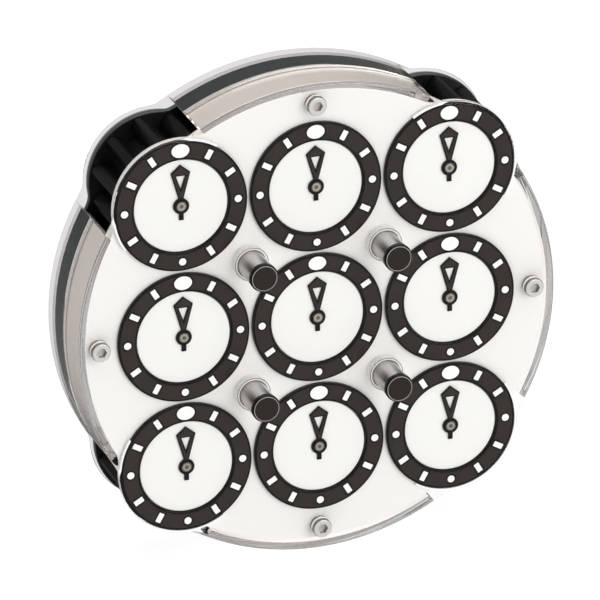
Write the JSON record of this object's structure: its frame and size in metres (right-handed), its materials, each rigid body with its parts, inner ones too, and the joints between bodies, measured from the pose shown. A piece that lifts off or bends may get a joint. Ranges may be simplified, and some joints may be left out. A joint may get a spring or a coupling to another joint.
{
  "type": "mechanical dial puzzle",
  "caption": "Round hand-held gear puzzle: small clock dials on both faces, thumb wheels at the corners and push pins that choose which dials turn together.",
  "frame": {"origin": "centre of the back cover's outer face", "axes": "+X to the right, +Z towards twelve o'clock, the front dials face -Y and +Y points out of the back"},
  "size_m": [0.1072, 0.0306, 0.1072],
  "materials": {
    "clear_polycarbonate": "clear, polished, injection-moulded",
    "white_abs": "semi-gloss moulded",
    "black_abs": "semi-gloss moulded",
    "ring_black": "glossy",
    "ring_white": "glossy",
    "dial_white": "satin",
    "dial_black": "satin",
    "hand_black": "glossy",
    "hand_white": "glossy",
    "wheel_black": "semi-gloss moulded",
    "white_acetal": "satin",
    "white_nylon": "satin",
    "brushed_steel": "fine turned",
    "steel_axle": "ground",
    "spring_steel": "plain",
    "nickel_plated_steel": "satin nickel",
    "cap_black": "satin"
  },
  "bodies": {
    "case": {"front_cover": "clear_polycarbonate", "front_shell": "white_abs", "front_dial_rings": "ring_black", "back_cover": "clear_polycarbonate", "back_shell": "black_abs", "back_dial_rings": "ring_white", "core_frame": "black_abs", "dial_axles": "steel_axle", "case_screws": "nickel_plated_steel", "case_nuts": "nickel_plated_steel", "pin_bushings": "white_nylon", "pin_detent_rings": "spring_steel"},
    "wheel_upper_left": {"thumb_wheel_upper_left": "wheel_black", "front_disc_upper_left": "dial_white", "front_hand_upper_left": "hand_black", "back_hand_upper_left": "hand_white"},
    "wheel_upper_right": {"thumb_wheel_upper_right": "wheel_black", "front_disc_upper_right": "dial_white", "front_hand_upper_right": "hand_black", "back_hand_upper_right": "hand_white"},
    "wheel_lower_left": {"thumb_wheel_lower_left": "wheel_black", "front_disc_lower_left": "dial_white", "front_hand_lower_left": "hand_black", "back_hand_lower_left": "hand_white"},
    "wheel_lower_right": {"thumb_wheel_lower_right": "wheel_black", "front_disc_lower_right": "dial_white", "front_hand_lower_right": "hand_black", "back_hand_lower_right": "hand_white"},
    "front_dial_top": {"front_gear_top": "dial_white", "front_hand_top": "hand_black"},
    "back_dial_top": {"back_gear_top": "dial_black", "back_hand_top": "hand_white"},
    "front_dial_left": {"front_gear_left": "dial_white", "front_hand_left": "hand_black"},
    "back_dial_left": {"back_gear_left": "dial_black", "back_hand_left": "hand_white"},
    "front_dial_centre": {"front_gear_centre": "dial_white", "front_hand_centre": "hand_black"},
    "back_dial_centre": {"back_gear_centre": "dial_black", "back_hand_centre": "hand_white"},
    "front_dial_right": {"front_gear_right": "dial_white", "front_hand_right": "hand_black"},
    "back_dial_right": {"back_gear_right": "dial_black", "back_hand_right": "hand_white"},
    "front_dial_bottom": {"front_gear_bottom": "dial_white", "front_hand_bottom": "hand_black"},
    "back_dial_bottom": {"back_gear_bottom": "dial_black", "back_hand_bottom": "hand_white"},
    "pin_upper_left": {"pin_rod_upper_left": "brushed_steel", "pin_caps_upper_left": "cap_black"},
    "idler_upper_left": {"pin_gear_upper_left": "white_acetal"},
    "pin_upper_right": {"pin_rod_upper_right": "brushed_steel", "pin_caps_upper_right": "cap_black"},
    "idler_upper_right": {"pin_gear_upper_right": "white_acetal"},
    "pin_lower_left": {"pin_rod_lower_left": "brushed_steel", "pin_caps_lower_left": "cap_black"},
    "idler_lower_left": {"pin_gear_lower_left": "white_acetal"},
    "pin_lower_right": {"pin_rod_lower_right": "brushed_steel", "pin_caps_lower_right": "cap_black"},
    "idler_lower_right": {"pin_gear_lower_right": "white_acetal"}
  },
  "joints": [
    {"name": "wheel_upper_left_spin", "type": "hinge", "parent": "case", "child": "wheel_upper_left", "pos_m": [-0.03, -0.011, 0.03], "axis": [0, 1, 0], "continuous": true},
    {"name": "wheel_upper_right_spin", "type": "hinge", "parent": "case", "child": "wheel_upper_right", "pos_m": [0.03, -0.011, 0.03], "axis": [0, 1, 0], "continuous": true},
    {"name": "wheel_lower_left_spin", "type": "hinge", "parent": "case", "child": "wheel_lower_left", "pos_m": [-0.03, -0.011, -0.03], "axis": [0, 1, 0], "continuous": true},
    {"name": "wheel_lower_right_spin", "type": "hinge", "parent": "case", "child": "wheel_lower_right", "pos_m": [0.03, -0.011, -0.03], "axis": [0, 1, 0], "continuous": true},
    {"name": "front_dial_top_spin", "type": "hinge", "parent": "case", "child": "front_dial_top", "pos_m": [0, -0.011, 0.03], "axis": [0, 1, 0], "continuous": true},
    {"name": "back_dial_top_spin", "type": "hinge", "parent": "case", "child": "back_dial_top", "pos_m": [0, -0.011, 0.03], "axis": [0, 1, 0], "continuous": true},
    {"name": "front_dial_left_spin", "type": "hinge", "parent": "case", "child": "front_dial_left", "pos_m": [-0.03, -0.011, 0], "axis": [0, 1, 0], "continuous": true},
    {"name": "back_dial_left_spin", "type": "hinge", "parent": "case", "child": "back_dial_left", "pos_m": [-0.03, -0.011, 0], "axis": [0, 1, 0], "continuous": true},
    {"name": "front_dial_centre_spin", "type": "hinge", "parent": "case", "child": "front_dial_centre", "pos_m": [0, -0.011, 0], "axis": [0, 1, 0], "continuous": true},
    {"name": "back_dial_centre_spin", "type": "hinge", "parent": "case", "child": "back_dial_centre", "pos_m": [0, -0.011, 0], "axis": [0, 1, 0], "continuous": true},
    {"name": "front_dial_right_spin", "type": "hinge", "parent": "case", "child": "front_dial_right", "pos_m": [0.03, -0.011, 0], "axis": [0, 1, 0], "continuous": true},
    {"name": "back_dial_right_spin", "type": "hinge", "parent": "case", "child": "back_dial_right", "pos_m": [0.03, -0.011, 0], "axis": [0, 1, 0], "continuous": true},
    {"name": "front_dial_bottom_spin", "type": "hinge", "parent": "case", "child": "front_dial_bottom", "pos_m": [0, -0.011, -0.03], "axis": [0, 1, 0], "continuous": true},
    {"name": "back_dial_bottom_spin", "type": "hinge", "parent": "case", "child": "back_dial_bottom", "pos_m": [0, -0.011, -0.03], "axis": [0, 1, 0], "continuous": true},
    {"name": "pin_upper_left_slide", "type": "slide", "parent": "case", "child": "pin_upper_left", "axis": [0, 1, 0], "range_m": [0, 0.0086]},
    {"name": "idler_upper_left_spin", "type": "hinge", "parent": "pin_upper_left", "child": "idler_upper_left", "pos_m": [-0.015, -0.011, 0.015], "axis": [0, 1, 0], "continuous": true},
    {"name": "pin_upper_right_slide", "type": "slide", "parent": "case", "child": "pin_upper_right", "axis": [0, 1, 0], "range_m": [0, 0.0086]},
    {"name": "idler_upper_right_spin", "type": "hinge", "parent": "pin_upper_right", "child": "idler_upper_right", "pos_m": [0.015, -0.011, 0.015], "axis": [0, 1, 0], "continuous": true},
    {"name": "pin_lower_left_slide", "type": "slide", "parent": "case", "child": "pin_lower_left", "axis": [0, 1, 0], "range_m": [0, 0.0086]},
    {"name": "idler_lower_left_spin", "type": "hinge", "parent": "pin_lower_left", "child": "idler_lower_left", "pos_m": [-0.015, -0.011, -0.015], "axis": [0, 1, 0], "continuous": true},
    {"name": "pin_lower_right_slide", "type": "slide", "parent": "case", "child": "pin_lower_right", "axis": [0, 1, 0], "range_m": [0, 0.0086]},
    {"name": "idler_lower_right_spin", "type": "hinge", "parent": "pin_lower_right", "child": "idler_lower_right", "pos_m": [0.015, -0.011, -0.015], "axis": [0, 1, 0], "continuous": true}
  ],
  "couplings": [
    {"joint": "idler_upper_left_spin", "follows": "wheel_upper_left_spin", "ratio": -1.5},
    {"joint": "wheel_upper_right_spin", "follows": "wheel_upper_left_spin", "ratio": 1},
    {"joint": "idler_upper_right_spin", "follows": "wheel_upper_left_spin", "ratio": -1.5},
    {"joint": "wheel_lower_left_spin", "follows": "wheel_upper_left_spin", "ratio": 1},
    {"joint": "idler_lower_left_spin", "follows": "wheel_upper_left_spin", "ratio": -1.5},
    {"joint": "wheel_lower_right_spin", "follows": "wheel_upper_left_spin", "ratio": 1},
    {"joint": "idler_lower_right_spin", "follows": "wheel_upper_left_spin", "ratio": -1.5},
    {"joint": "front_dial_top_spin", "follows": "wheel_upper_left_spin", "ratio": 1},
    {"joint": "front_dial_left_spin", "follows": "wheel_upper_left_spin", "ratio": 1},
    {"joint": "front_dial_centre_spin", "follows": "wheel_upper_left_spin", "ratio": 1},
    {"joint": "front_dial_right_spin", "follows": "wheel_upper_left_spin", "ratio": 1},
    {"joint": "front_dial_bottom_spin", "follows": "wheel_upper_left_spin", "ratio": 1}
  ]
}
